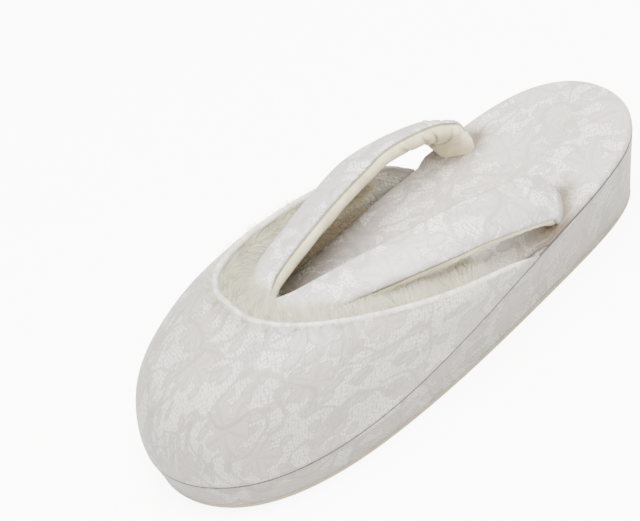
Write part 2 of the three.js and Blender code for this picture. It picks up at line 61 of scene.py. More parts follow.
# Tread: a thin tan rubber sheet under the whole sole, cut to the outline of its foot and bent up at
# the toe. Its edge shows all round as a narrow line. Sizes are in millimetres, and the pieces above
# follow the same outline.
MM = 0.001
sole_low, sole_high = (np.array(corner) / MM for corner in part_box("sole_body"))
HALF_LENGTH = (sole_high[0] - sole_low[0]) / 2
HALF_BALL = (sole_high[1] - sole_low[1]) / 2
TOE_SPRING = 6.5
FLAT_SHARE = 0.37
HEEL_TAPER = 0.6
TOE_TAPER = 1.9
TREAD_THICK = 1.8
TREAD_INSET = (0.997, 0.99, 1)
TREAD_BEVEL = dict(low=0.3, high=0.2)
RUBBER_DARK = (0.33, 0.26, 0.165, 1)
RUBBER_PALE = (0.42, 0.345, 0.235, 1)

# Fullness of the outline every 30 degrees from the toe round to the heel, in shares of the half
# ball width.
OUTLINE = [
    dict(top=1.42, bottom=1.427),
    dict(top=1.324, bottom=1.287),
    dict(top=1.126, bottom=1.04),
    dict(top=0.965, bottom=0.855),
    dict(top=0.974, bottom=0.774),
    dict(top=1.224, bottom=0.886),
    dict(top=1.399, bottom=1.0),
]


def smoothstep(x, low, high):
    t = np.clip((x - low) / (high - low), 0, 1)
    return t * t * (3 - 2 * t)


def stack(*parts):
    return np.stack(np.broadcast_arrays(*parts), -1)


def fullness(key, turn):
    last = len(OUTLINE) - 1
    steps = np.arange(last + 1)
    weights = np.where((steps == 0) | (steps == last), 0.5, 1.0)
    values = np.array([row[key] for row in OUTLINE])
    total = 0
    for k in steps:
        term = 2 / last * np.sum(weights * values * np.cos(math.pi * steps * k / last))
        total = total + weights[k] * term * np.cos(k * turn)
    return HALF_BALL * total


def foot_outline(turn):
    half = HALF_LENGTH - (HEEL_TAPER + TOE_TAPER) / 2
    x = (HEEL_TAPER - TOE_TAPER) / 2 + half * np.cos(turn)
    return stack(x, fullness("bottom", turn) * np.sin(turn), underside_height(x))


def underside_height(x):
    flat_end = FLAT_SHARE * HALF_LENGTH
    share = np.maximum(x - flat_end, 0) / (HALF_LENGTH - flat_end)
    return TOE_SPRING * share**2


def raised(points, height):
    return points + stack(0, 0, height)


def placed(name, data):
    made = bpy.data.objects.new(name, data)
    bpy.context.scene.collection.objects.link(made)
    return made


def piece(name, grids, material, merge=2e-3):
    """One object from grids of points in millimetres, each with its own pattern coordinates."""
    vertices, faces, patterns = [], [], []
    start = 0
    for points, pattern in grids:
        rows, columns = points.shape[:2]
        i, j = (k.ravel() for k in np.mgrid[0 : rows - 1, 0 : columns - 1])
        corners = [(i, j), (i, j + 1), (i + 1, j + 1), (i + 1, j)]
        faces.append(start + np.stack([a * columns + b for a, b in corners], -1))
        patterns.append(np.stack([pattern[a, b] for a, b in corners], 1))
        vertices.append(points.reshape(-1, 3))
        start += rows * columns
    mesh = bpy.data.meshes.new(name)
    mesh.from_pydata((np.concatenate(vertices) * MM).tolist(), [], np.concatenate(faces).tolist())
    layer = mesh.uv_layers.new(name="pattern")
    layer.uv.foreach_set("vector", np.concatenate(patterns).astype(np.float32).ravel())
    shape = bmesh.new()
    shape.from_mesh(mesh)
    bmesh.ops.remove_doubles(shape, verts=shape.verts, dist=merge * MM)
    bmesh.ops.recalc_face_normals(shape, faces=shape.faces)
    shape.to_mesh(mesh)
    shape.free()
    mesh.shade_smooth()
    mesh.materials.append(material)
    return placed(name, mesh)


def carried(made, slot, *nodes):
    """The finished piece rides on the sandal and stands for its CAD nodes."""
    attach(made, "root")
    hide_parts(*nodes)
    return made


def wire(tree, node, inputs):
    """Give a node its inputs, which are numbers, colours or other nodes' outputs."""
    for key, value in dict(inputs).items():
        named = [s for s in node.inputs if s.enabled and s.name == key]
        socket = named[0] if named else node.inputs[key]
        if isinstance(value, bpy.types.NodeSocket):
            tree.links.new(value, socket)
        else:
            socket.default_value = value


def add(tree, kind, inputs=(), **settings):
    made = tree.nodes.new(kind)
    for key, value in settings.items():
        setattr(made, key, value)
    wire(tree, made, inputs)
    return made


def blended(tree, share, low, high):
    """Colour between low and high by share."""
    inputs = {0: share, 6: low, 7: high}
    return add(tree, "ShaderNodeMix", inputs, data_type="RGBA").outputs[2]


def mottle(tree, place, scale, detail=2.0):
    """Soft noise between 0 and 1."""
    inputs = {"Vector": place, "Scale": scale, "Detail": detail}
    return add(tree, "ShaderNodeTexNoise", inputs).outputs["Fac"]


def relief(tree, height, distance, strength):
    inputs = {"Height": height, "Distance": distance, "Strength": strength}
    return add(tree, "ShaderNodeBump", inputs).outputs["Normal"]


def on_object(tree):
    return add(tree, "ShaderNodeTexCoord").outputs["Object"]


def new_material(name):
    material = bpy.data.materials.new(name)
    material.use_nodes = True
    tree = material.node_tree
    return material, tree, tree.nodes["Principled BSDF"]


def rubber_material():
    material, tree, surface = new_material("tan tread rubber")
    place = on_object(tree)
    tone = blended(tree, mottle(tree, place, 90.0, 4.0), RUBBER_DARK, RUBBER_PALE)
    grit = relief(tree, mottle(tree, place, 1800.0), 0.0002, 0.5)
    wire(tree, surface, {"Base Color": tone, "Roughness": 0.75, "Normal": grit})
    return material


def cap(ring, across, crown=0.0, reach=1.0):
    """Grid over a sole-shaped ring, from one side across to the other."""
    half = len(ring) // 2
    left = ring[: half + 1]
    right = np.concatenate((ring[:1], ring[: half - 1 : -1]))
    share = np.linspace(0, 1, across + 1)[None, :, None]
    points = left[:, None] * (1 - share) + right[:, None] * share
    bulge = crown * (1 - (2 * share[..., 0] - 1) ** 2)
    ends = smoothstep(np.abs(left[:, 1]), 0, reach)[:, None]
    return raised(points, bulge * ends)


def flat(*grids):
    """Grids with pattern coordinates in metres, straight down on the piece."""
    return [(points, points[..., :2] * MM) for points in grids]


TURNS = np.linspace(0, 2 * math.pi, 257)


def tread():
    foot = foot_outline(TURNS)
    inset = foot * TREAD_INSET
    rows = np.stack([
        inset,
        raised(foot, TREAD_BEVEL["low"]),
        raised(foot, TREAD_THICK - TREAD_BEVEL["high"]),
        raised(inset, TREAD_THICK),
    ])
    caps = [cap(rows[k][:-1], 6) for k in (0, -1)]
    return piece("tread_sheet", flat(rows, *caps), rubber_material())


carried(tread(), "tread", "outsole")

# Sole body: a light wedge, wrapped round its side in lace-patterned vinyl that is stretched on and
# turned in at the top, where painted shade makes a dark hairline under the footbed and the toe
# cover.
HEEL_HEIGHT = sole_high[2]
FORE_HEIGHT = 17.0
SEAM_ROUND = 0.9
SEAM_LINE = 1.15 * MM
# Colour of the painted shade in the grooves of the seams.
PAINTED_SEAM_SHADE = (0.09, 0.085, 0.08, 1)
# Colour of the painted shadow that lies on the footbed under the straps.
PAINTED_STRAP_SHADE = (0.11, 0.08, 0.05, 1)
LACE_EDGE = 0.35
PATCH_STRENGTH = 0.85
THREAD_STRENGTH = 0.8
LINE_STRENGTH = 0.62

# Height of the seam over the sole body in even steps from the heel to the toe: rise is a share of
# the heel's extra height, spring a share of the toe spring.
SEAM = [
    dict(rise=1, spring=0),
    dict(rise=0.907, spring=0),
    dict(rise=0.731, spring=0),
    dict(rise=0.506, spring=0),
    dict(rise=0.278, spring=0),
    dict(rise=0.095, spring=0),
    dict(rise=0, spring=0),
    dict(rise=0, spring=0.037),
    dict(rise=0, spring=0.455),
]


def through(rows, key, place):
    """Smooth curve through one column of a table, by place counted in rows."""
    values = np.array([row[key] for row in rows], float)
    values = np.concatenate(([2 * values[0] - values[1]], values, [2 * values[-1] - values[-2]]))
    row = np.clip(np.floor(place).astype(int), 0, len(rows) - 2)
    t = place - row
    a, b, c, d = (values[row + k] for k in range(4))
    return b + 0.5 * t * (c - a + t * (2 * a - 5 * b + 4 * c - d + t * (3 * (b - c) + d - a)))


def unit(vectors):
    return vectors / np.linalg.norm(vectors, axis=-1, keepdims=True)


def seam_outline(turn, inset=0.0):
    """Points of the seam's outline moved in by inset, and the outward directions there."""
    def at(t):
        return stack(HALF_LENGTH * np.cos(t), fullness("top", t) * np.sin(t), 0 * t)

    step = 1e-3
    along = unit(at(turn + step) - at(turn - step))
    outward = stack(along[..., 1], -along[..., 0], 0 * turn)
    return at(turn) - np.asarray(inset)[..., None] * outward, outward


def seam_height(x):
    place = (x / HALF_LENGTH + 1) * (len(SEAM) - 1) / 2
    rise = through(SEAM, "rise", place) * (HEEL_HEIGHT - FORE_HEIGHT)
    return FORE_HEIGHT + rise + through(SEAM, "spring", place) * TOE_SPRING


def maths(tree, operation, *values, clamp=False):
    made = add(tree, "ShaderNodeMath", enumerate(values), operation=operation, use_clamp=clamp)
    return made.outputs[0]


def times(tree, *values):
    return maths(tree, "MULTIPLY", *values)


def step_between(tree, value, low, high):
    """0 below low, 1 above high, smooth between."""
    inputs = {"Value": value, "From Min": low, "From Max": high}
    made = add(tree, "ShaderNodeMapRange", inputs, interpolation_type="SMOOTHSTEP")
    return made.outputs["Result"]


def on_pattern(tree):
    return add(tree, "ShaderNodeUVMap", uv_map="pattern").outputs["UV"]


def axes_of(tree, vector):
    return add(tree, "ShaderNodeSeparateXYZ", {"Vector": vector}).outputs


def attribute(tree, name):
    return add(tree, "ShaderNodeAttribute", attribute_name=name).outputs["Fac"]


def lace_vinyl(name, ground, patch, thread, turned=0.0, seam=0.0):
    """Pale satin vinyl printed and pressed with a fine net, flowers, leaves and winding ribbons."""
    material, tree, surface = new_material(name)
    chart = on_pattern(tree)

    def mapped(vector, scale, turn, shift=0.0):
        inputs = {"Vector": vector, "Scale": scale, "Rotation": (0, 0, turn)}
        inputs["Location"] = (shift, 0, 0)
        return add(tree, "ShaderNodeMapping", inputs).outputs["Vector"]

    spot = mapped(chart, (1 / MM,) * 3, turned)

    def noise(vector, size, detail=2.0):
        inputs = {"Vector": vector, "Scale": 1 / size, "Detail": detail}
        return add(tree, "ShaderNodeTexNoise", inputs, noise_dimensions="2D").outputs

    def cells(vector, scale, randomness):
        inputs = {"Vector": vector, "Scale": scale, "Randomness": randomness}
        return add(tree, "ShaderNodeTexVoronoi", inputs, voronoi_dimensions="2D").outputs

    def vectors(operation, *values):
        return add(tree, "ShaderNodeVectorMath", enumerate(values), operation=operation).outputs

    def wandering(size, reach):
        drift = vectors("SUBTRACT", noise(spot, size)["Color"], (0.5,) * 3)[0]
        return vectors("ADD", spot, vectors("MULTIPLY", drift, (reach, reach, 0))[0])[0]

    def shaped(distance, width=0.3):
        """Inside of an edge and the line along it, from the distance inside that edge."""
        inside = step_between(tree, distance, 0.0, LACE_EDGE)
        off = maths(tree, "ABSOLUTE", distance)
        return inside, step_between(tree, off, width + LACE_EDGE, width * 0.4)

    def most(*values):
        result = values[0]
        for value in values[1:]:
            result = maths(tree, "MAXIMUM", result, value)
        return result

    def rest_of(share):
        return maths(tree, "SUBTRACT", 1.0, share, clamp=True)

    def scaled(value, by, start):
        return maths(tree, "MULTIPLY_ADD", value, by, start)

    def flowers(pitch, radius, petals, start):
        field = vectors("ADD", wandering(18.0, 7.0), (start, start * 0.7, 0))[0]
        cell = cells(field, 1 / pitch, 0.75)
        arm = vectors("SUBTRACT", field, cell["Position"])[0]
        reach = vectors("LENGTH", arm)["Value"]
        parts = axes_of(tree, arm)
        tint = add(tree, "ShaderNodeSeparateColor", {"Color": cell["Color"]}).outputs
        angle = maths(tree, "ARCTAN2", parts["Y"], parts["X"])
        angle = maths(tree, "ADD", angle, times(tree, tint["Red"], 6.3))
        wave = maths(tree, "COSINE", times(tree, angle, petals / 2))
        wave = maths(tree, "ABSOLUTE", wave)
        lobe = maths(tree, "POWER", wave, 0.5)
        size = scaled(tint["Green"], 0.45 * radius, 0.65 * radius)
        ragged = scaled(noise(spot, 6.0)["Fac"], 0.9, 0.55)
        edge = times(tree, times(tree, size, scaled(lobe, 0.75, 0.25)), ragged)
        inside, line = shaped(maths(tree, "SUBTRACT", edge, reach), 0.28)
        vein = times(tree, rest_of(wave), reach)
        fold = times(tree, step_between(tree, vein, 0.45, 0.1), inside)
        return inside, most(line, times(tree, fold, 0.55))

    def leaves(turn, long, wide, share, start):
        field = mapped(wandering(26.0, 9.0), (1 / long, 1 / wide, 1), turn, start)
        room = maths(tree, "SUBTRACT", share, cells(field, 1.0, 0.9)["Distance"])
        return shaped(times(tree, room, wide))

    def ribbons(size, width):
        field = noise(wandering(30.0, 10.0), size, 1.0)["Fac"]
        off = maths(tree, "ABSOLUTE", maths(tree, "SUBTRACT", field, 0.5))
        return shaped(times(tree, maths(tree, "SUBTRACT", width / size, off), size))

    flower, flower_lines = flowers(pitch=29.0, radius=11.5, petals=5.0, start=3.0)
    leaf, leaf_lines = leaves(turn=0.7, long=19.0, wide=9.5, share=0.19, start=5.0)
    small_leaf, small_leaf_lines = leaves(turn=-0.9, long=15.0, wide=8.0, share=0.18, start=31.0)
    ribbon, ribbon_lines = ribbons(size=26.0, width=0.2)
    stem, stem_lines = ribbons(size=37.0, width=0.08)
    outside = rest_of(flower)
    growth = times(tree, most(leaf, small_leaf, ribbon), outside)
    patches = times(tree, most(flower, growth), PATCH_STRENGTH)
    growth_lines = times(tree, most(leaf_lines, small_leaf_lines, ribbon_lines), outside)
    lines = most(flower_lines, growth_lines, stem, stem_lines)

    net = cells(mapped(wandering(7.0, 1.8), (1 / 1.3, 1 / 0.95, 1), 0.35), 1.0, 0.5)
    dots = step_between(tree, net["Distance"], 0.66, 0.22)
    bare = rest_of(patches)
    white = times(tree, dots, bare)
    white = times(tree, white, scaled(noise(spot, 14.0, 3.0)["Fac"], 1.1, 0.35))
    gaps = times(tree, times(tree, rest_of(dots), 0.5), bare)

    cloud = step_between(tree, noise(spot, 38.0, 3.0)["Fac"], 0.35, 0.65)
    shade = tuple(0.72 * value for value in patch[:3]) + (1,)
    colour = blended(tree, cloud, ground, patch)
    colour = blended(tree, times(tree, patches, 0.8), colour, patch)
    colour = blended(tree, gaps, colour, shade)
    colour = blended(tree, times(tree, white, THREAD_STRENGTH), colour, thread)
    colour = blended(tree, times(tree, lines, LINE_STRENGTH), colour, shade)
    # Painted shade: a dark hairline along the turned-in top edge, where the seam's groove lies.
    if seam:
        line = step_between(tree, axes_of(tree, chart)["Y"], seam, 0.7 * seam)
        colour = blended(tree, line, colour, PAINTED_SEAM_SHADE)
    # Painted shade: the shade attribute browns the footbed where the straps' shadow falls.
    colour = blended(tree, attribute(tree, "shade"), colour, PAINTED_STRAP_SHADE)
    height = maths(tree, "MULTIPLY_ADD", white, 0.6, times(tree, patches, 0.35))
    height = maths(tree, "MULTIPLY_ADD", lines, -0.55, height)
    wire(tree, surface, {
        "Base Color": colour,
        "Roughness": scaled(patches, -0.08, 0.47),
        "Specular IOR Level": 0.4,
        "Coat Weight": 0.08,
        "Coat Roughness": 0.35,
        "Normal": relief(tree, height, 0.00016, 0.65),
    })
    return material


# Painted shade: the footbed's lace vinyl, given darker colours for the shade that falls on the side
# wall.
WALL_LACE_IN_PAINTED_SHADE = lace_vinyl(
    "lace vinyl of the side",
    ground=(0.35, 0.332, 0.293, 1),
    patch=(0.313, 0.279, 0.253, 1),
    thread=(0.495, 0.48, 0.435, 1),
    seam=SEAM_LINE,
)


def run_length(points, axis=0):
    steps = np.linalg.norm(np.diff(points, axis=axis), axis=-1)
    pad = [(0, 0)] * steps.ndim
    pad[axis] = (1, 0)
    return np.cumsum(np.pad(steps, pad), axis=axis)


def sole_wrap():
    foot = raised(foot_outline(TURNS), TREAD_THICK + 0.1)
    seam, outward = seam_outline(TURNS)
    seam = raised(seam, seam_height(seam[:, 0]))
    walls = []
    for share in np.linspace(0, 1, 13):
        walls.append(foot * (1 - share) + raised(seam, -SEAM_ROUND) * share)
    for angle in np.radians([25, 50, 70, 90]):
        inner = seam - outward * SEAM_ROUND * (1 - math.cos(angle))
        walls.append(raised(inner, SEAM_ROUND * (math.sin(angle) - 1)))
    walls = np.stack(walls)
    along = run_length(seam)
    rise = run_length(walls)
    pattern = stack(along[None, :], rise[-1:] - rise) * MM
    lid = cap(walls[-1][:-1], 8)
    base = cap(walls[0][:-1], 4)
    return piece("sole_wrap", [(walls, pattern)] + flat(lid, base), WALL_LACE_IN_PAINTED_SHADE)


carried(sole_wrap(), "lace_vinyl", "sole_body")

# Footbed: a thin padded board covered in the same lace vinyl, its soft edge turned under. It steps
# in at the front, where the toe cover's edge is tucked between it and the sole body.
GAP = 0.3
FOOTBED_THICK = 2.9
FOOTBED_ROUND = 1.7
FOOTBED_CROWN = 0.5
COVER_WALL = 1.6
WING_END = -0.36
TUCK = COVER_WALL + 3 * GAP
TUCK_RUN = 0.04
EDGE_FOLD = 0.8

TOP_LACE = lace_vinyl(
    "lace vinyl of the footbed",
    ground=(0.525, 0.51, 0.467, 1),
    patch=(0.478, 0.432, 0.412, 1),
    thread=(0.775, 0.77, 0.72, 1),
    turned=0.5,
)


def footbed_height(x):
    return seam_height(x) + GAP + FOOTBED_THICK


def footbed():
    start = (WING_END - TUCK_RUN) * HALF_LENGTH
    step_in = TUCK * smoothstep(HALF_LENGTH * np.cos(TURNS), start, WING_END * HALF_LENGTH - GAP)
    profile = [
        (0.6, 0.05),
        (0.15, 0.2),
        (0.0, 0.45),
        (0.02, EDGE_FOLD - 0.08),
        (0.28, EDGE_FOLD),
        (0.02, EDGE_FOLD + 0.12),
        (0.0, FOOTBED_THICK - FOOTBED_ROUND),
    ]
    for angle in np.radians([20, 40, 60, 80, 90]):
        drop = FOOTBED_ROUND * (1 - math.sin(angle))
        profile.append((FOOTBED_ROUND * (1 - math.cos(angle)), FOOTBED_THICK - drop))
    rows = []
    for inset, height in profile:
        points, _ = seam_outline(TURNS, step_in + inset)
        rows.append(raised(points, seam_height(points[:, 0]) + GAP + height))
    rows = np.stack(rows)
    top = cap(rows[-1][:-1], 64, FOOTBED_CROWN, 12.0)
    base = cap(rows[0][:-1], 4)
    return piece("padded_footbed", flat(rows, top, base), TOP_LACE)


carried(footbed(), "lace_vinyl", "footbed")

# Toe cover: one hollow shell of lace vinyl, lasted over the toes and sewn down all round the sole.
# It rises from the seam in a full dome to the throat, and its wings run back beside the foot.
THROAT_LIFT = 48.5
COVER_WAVE = 0.22
GATHER_DEPTH = 0.16
GATHER_PITCH = 5.5
WING_TURN = math.acos(WING_END)
WING_STOP = 0.985
WING_CROWD = 0.16
SECTION = dict(rise=0.55, crest=0.3, thin=0.045, droop=0.5, dive=0.39)
BINDING_RADIUS = 1.2
BINDING_TAPER = 0.6

# Edge of the throat from the middle of the toe to a wing's end: shares of the half length, of the
# half ball width and of the throat's lift over the seam.
THROAT = [
    dict(along=0.581, out=0, up=1),
    dict(along=0.57, out=0.263, up=1),
    dict(along=0.488, out=0.538, up=0.948),
    dict(along=0.3, out=0.797, up=0.798),
    dict(along=0.032, out=0.97, up=0.54),
    dict(along=-0.235, out=0.977, up=0.243),
    dict(along=WING_END, out=0.879, up=0),
]

COVER_LACE = lace_vinyl(
    "lace vinyl of the toe cover",
    ground=(0.425, 0.41, 0.372, 1),
    patch=(0.38, 0.343, 0.325, 1),
    thread=(0.655, 0.65, 0.60, 1),
    turned=-0.3,
)


def cover_curve(side):
    """The four control points of the cover's section, from the seam up to the throat."""
    share = np.abs(side)
    sign = np.where(side < 0, -1.0, 1.0)
    turn = sign * WING_TURN * ((1 + WING_CROWD) * share - WING_CROWD * share**6)
    base, outward = seam_outline(turn)
    base = raised(base, seam_height(base[..., 0]) + GAP)
    place = share * (len(THROAT) - 1)
    x = through(THROAT, "along", place) * HALF_LENGTH
    lift = seam_height(x) + GAP + through(THROAT, "up", place) * THROAT_LIFT
    throat = stack(x, sign * through(THROAT, "out", place) * HALF_BALL, lift)
    reach = np.linalg.norm(throat - base, axis=-1)
    rise = (SECTION["rise"] - SECTION["thin"] * share**2) * reach
    crest = (SECTION["crest"] - SECTION["thin"] * share**2) * reach
    droop = SECTION["droop"] + SECTION["dive"] * share**2
    high = throat + outward * (crest * np.cos(droop))[..., None]
    return base, raised(base, rise), raised(high, -crest * np.sin(droop)), throat, crest, outward


def cover_point(side, climb):
    side, climb = np.broadcast_arrays(np.asarray(side, float), np.asarray(climb, float))
    a, b, c, d = cover_curve(side)[:4]
    t = climb[..., None]
    return a * (1 - t) ** 3 + 3 * b * t * (1 - t) ** 2 + 3 * c * t * t * (1 - t) + d * t**3


def cover_inward(side, climb):
    step = 1e-3
    across = cover_point(side + step, climb) - cover_point(side - step, climb)
    low = np.clip(climb - step, 0, 1 - 2 * step)
    rise = cover_point(side, low + 2 * step) - cover_point(side, low)
    return unit(np.cross(rise, across))


def binding_radius(side):
    return BINDING_RADIUS * (1 - BINDING_TAPER * smoothstep(np.abs(side), 0.8, WING_STOP))


def ripples(u, v, size, seed):
    """Soft uneven waves between -1 and 1, for cloth that isn't quite flat."""
    total = 0
    for k in range(5):
        angle = seed + 2.4 * k
        wave = size * (0.7 + 0.19 * k)
        phase = 1.7 * k * seed
        along = u * math.cos(angle) + v * math.sin(angle)
        total = total + np.sin(along * 2 * math.pi / wave + phase)
    return total / 5


def toe_cover():
    sides = np.linspace(-WING_STOP, WING_STOP, 301)[:, None]
    steps = 1 - (1 - np.linspace(0, 1, 61)) ** 1.3
    crest = cover_curve(sides)[4]
    top = 1 - binding_radius(sides) * 0.5 / (3 * crest)
    climbs = top * steps[None, :]
    outer = cover_point(sides, climbs)
    inward = cover_inward(sides + 0 * climbs, climbs)
    length = run_length(outer, axis=1)
    around = run_length(outer[:, len(steps) // 2])[:, None]
    fall = (length[:, -1:] - length)[..., None]
    pattern = (outer[:, -1:, :2] + cover_curve(sides)[5][..., :2] * fall) * MM
    settle = smoothstep(climbs, 0, 0.12) * smoothstep(top - climbs, 0, 0.04)
    wave = COVER_WAVE * ripples(around, length, 26.0, 1.3) * settle
    uneven = 1.5 * ripples(around, length, 30.0, 2.1)
    gather = GATHER_DEPTH * np.sin(around * 2 * math.pi / GATHER_PITCH + uneven)
    near_throat = smoothstep(length / length[:, -1:], 0.86, 0.97)
    near_throat = near_throat * smoothstep(1 - length / length[:, -1:], 0.0, 0.02)
    outer = outer - inward * (wave + gather * near_throat)[..., None]
    inner = cover_point(sides, climbs) + inward * COVER_WALL
    rim = np.stack([outer[:, -1], (outer[:, -1] + inner[:, -1]) / 2, inner[:, -1]], 1)
    foot = np.stack([outer[:, 0], inner[:, 0]], 1)
    ends = [np.stack([outer[k], inner[k]], 0) for k in (0, -1)]
    grids = [(outer, pattern), (inner, pattern)] + flat(rim, foot, *ends)
    return piece("lace_toe_cover", grids, COVER_LACE)


carried(toe_cover(), "lace_vinyl", "toe_cover")

# Throat binding: a strip of plain white vinyl folded over the cover's raw edge and topstitched from
# inside, so it lies as a narrow roll with small pinched wrinkles across it.
BINDING_TURNS = 20
BINDING_FLATTEN = 0.55
FINE_PUCKER = 0.03
SOFT_PUCKER = 0.05
# Colour of the painted shade in the wrinkles' troughs; the pale colour is the vinyl on their tops.
BINDING_TROUGH_SHADE = (0.55, 0.54, 0.505, 1)
BINDING_PALE = (0.71, 0.705, 0.67, 1)


def binding_vinyl():
    material, tree, surface = new_material("white binding vinyl")
    chart = on_pattern(tree)
    inputs = {"Vector": chart, "Scale": (520.0, 120.0, 1.0)}
    across = add(tree, "ShaderNodeMapping", inputs).outputs["Vector"]
    pinch = step_between(tree, mottle(tree, across, 1.0, 3.0), 0.3, 0.6)
    height = maths(tree, "MULTIPLY_ADD", mottle(tree, chart, 2600.0), 0.15, pinch)
    # Painted shade: the white vinyl is darker in the wrinkles' troughs and paler on their tops.
    wire(tree, surface, {
        "Base Color": blended(tree, pinch, BINDING_TROUGH_SHADE, BINDING_PALE),
        "Roughness": 0.42,
        "Coat Weight": 0.1,
        "Coat Roughness": 0.3,
        "Normal": relief(tree, height, 0.00025, 0.6),
    })
    return material


def closed_end(ring, middle):
    return np.stack([ring, 0 * ring + middle], 0)


def throat_binding():
    side = np.linspace(-WING_STOP, WING_STOP, 601)
    step = 1e-3
    inward = cover_inward(side, 1 - 2 * step + 0 * side)
    edge = cover_point(side, 1 + 0 * side)
    along = unit(cover_point(side + step, 1.0) - cover_point(side - step, 1.0))
    across = unit(np.cross(along, inward))
    centre = edge + inward * COVER_WALL / 2
    length = run_length(edge)
    angle = np.linspace(0, 2 * math.pi, BINDING_TURNS + 1)[None, :]
    pucker = FINE_PUCKER * np.sin(length / 0.8 + 3.0 * ripples(length, 0, 9.0, 0.8))
    pucker = pucker + SOFT_PUCKER * ripples(length, 0, 4.0, 2.9)
    flatten = 1 - BINDING_FLATTEN * smoothstep(np.abs(side), 0.72, 0.95)
    radius = (binding_radius(side) * flatten)[:, None]
    radius = radius * (1 + pucker[:, None] * (0.6 + 0.4 * np.cos(3 * angle)))
    rings = (
        centre[:, None]
        + inward[:, None] * (radius * 1.05 * np.cos(angle))[..., None]
        + across[:, None] * (radius * np.sin(angle))[..., None]
    )
    pattern = stack(length[:, None] + 0 * angle, binding_radius(side)[:, None] * angle) * MM
    ends = [closed_end(rings[k], centre[k]) for k in (0, -1)]
    return piece("rolled_binding", [(rings, pattern)] + flat(*ends), binding_vinyl())


carried(throat_binding(), "white_vinyl", "throat_binding")

# Fur lining: a pelt glued inside the cover, thin at the footbed and deepest at the throat, where
# its pile leans in over the toes. The underfur is one soft body; the hairs are grown on it as
# thousands of tapered blades that lie in combed locks.
FUR_AT_FOOT = 5.0
FUR_AT_LIP = 13.0
FUR_STOP = 0.78
FUR_LIP = 0.9
FUR_THINS = dict(start=0.62, end=1.04, share=0.35)
FUR_LEAN = 0.95
UNDERFUR = 0.92
TOE_FULLNESS = 0.95
FUR_ROLL = 1.3
FUR_ROLL_STEPS = 12
HAIR_WIDTH = 0.15
HAIR_CURL = 0.3
HAIR_STRAY = 0.22
HAIRS_PER_SQUARE_METRE = 9.0e6
PELT_SINK = 0.06
TOE_FUR_END = 0.28
FUR_ROOT_SHADE = (0.53, 0.50, 0.385, 1)
FUR_TIP = (0.60, 0.58, 0.455, 1)
# Colour of the painted shade low in the fur.
FUR_SHADOW = (0.36, 0.30, 0.225, 1)
UNDERFUR_SHADE = (0.49, 0.45, 0.33, 1)
UNDERFUR_PALE = (0.56, 0.535, 0.39, 1)


def fur_depth(side, climb):
    rise = FUR_AT_FOOT + (FUR_AT_LIP - FUR_AT_FOOT) * smoothstep(climb, 0, FUR_LIP)
    past = np.maximum(climb - FUR_LIP, 0) / (1 - FUR_LIP)
    end = smoothstep(np.abs(side), FUR_THINS["start"], FUR_THINS["end"])
    thin = 1 - (1 - FUR_THINS["share"]) * end
    return rise * np.sqrt(np.maximum(1 - past**2, 0.02)) * thin


def fur_direction(side, climb):
    flat = -cover_curve(side)[5]
    spread = np.maximum(smoothstep(np.abs(side), 0.1, 0.75), 0.85 * smoothstep(climb, 0.7, 0.93))
    lean = (FUR_LEAN * climb**2 * spread)[..., None]
    return unit(cover_inward(side, climb) * (1 - lean) + flat * lean)


def foot_climb(side):
    """Climb at which the cover's face passes the padded footbed."""
    low, high = np.zeros_like(side), np.ones_like(side)
    for _ in range(20):
        middle = (low + high) / 2
        point = cover_point(side, middle)
        under = point[..., 2] < footbed_height(point[..., 0]) + FOOTBED_CROWN + GAP
        low = np.where(under, middle, low)
        high = np.where(under, high, middle)
    return high


def fur_shadow(tree):
    """Share of painted brown shade on the pile, most of it low down beside the footbed."""
    parts = axes_of(tree, on_object(tree))
    level = maths(tree, "MULTIPLY_ADD", parts["X"], 0.12, parts["Z"])
    return step_between(tree, level, 0.046, 0.032)


def fur_material():
    material, tree, surface = new_material("ivory fur")
    # Painted shade: each blade darkens toward its root, for the shade deep in the pile.
    share = step_between(tree, attribute(tree, "strand"), 0.0, 0.55)
    colour = blended(tree, share, FUR_ROOT_SHADE, FUR_TIP)
    # Painted shade: the hairs turn browner low down beside the footbed.
    colour = blended(tree, fur_shadow(tree), colour, FUR_SHADOW)
    pale = tuple(min(1.0, 1.12 * value) for value in FUR_TIP[:3]) + (1,)
    colour = blended(tree, times(tree, attribute(tree, "tone"), 0.6), colour, pale)
    wire(tree, surface, {
        "Base Color": colour,
        "Roughness": 0.62,
        "Specular IOR Level": 0.3,
        "Sheen Weight": 0.25,
        "Sheen Roughness": 0.5,
    })
    return material


def underfur_material():
    material, tree, surface = new_material("ivory underfur")
    place = on_object(tree)
    clumps = mottle(tree, place, 420.0, 3.0)
    # Partly random tone, partly painted shade: the underfur is darker where its clumps sink in the
    # bump.
    tone = blended(tree, step_between(tree, clumps, 0.36, 0.58), UNDERFUR_SHADE, UNDERFUR_PALE)
    # Painted shade: the underfur turns browner low down beside the footbed.
    tone = blended(tree, fur_shadow(tree), tone, FUR_SHADOW)
    height = maths(tree, "MULTIPLY_ADD", mottle(tree, place, 2600.0), 0.4, clumps)
    pile = relief(tree, height, 0.0012, 0.9)
    wire(tree, surface, {"Base Color": tone, "Roughness": 0.95, "Normal": pile})
    return material


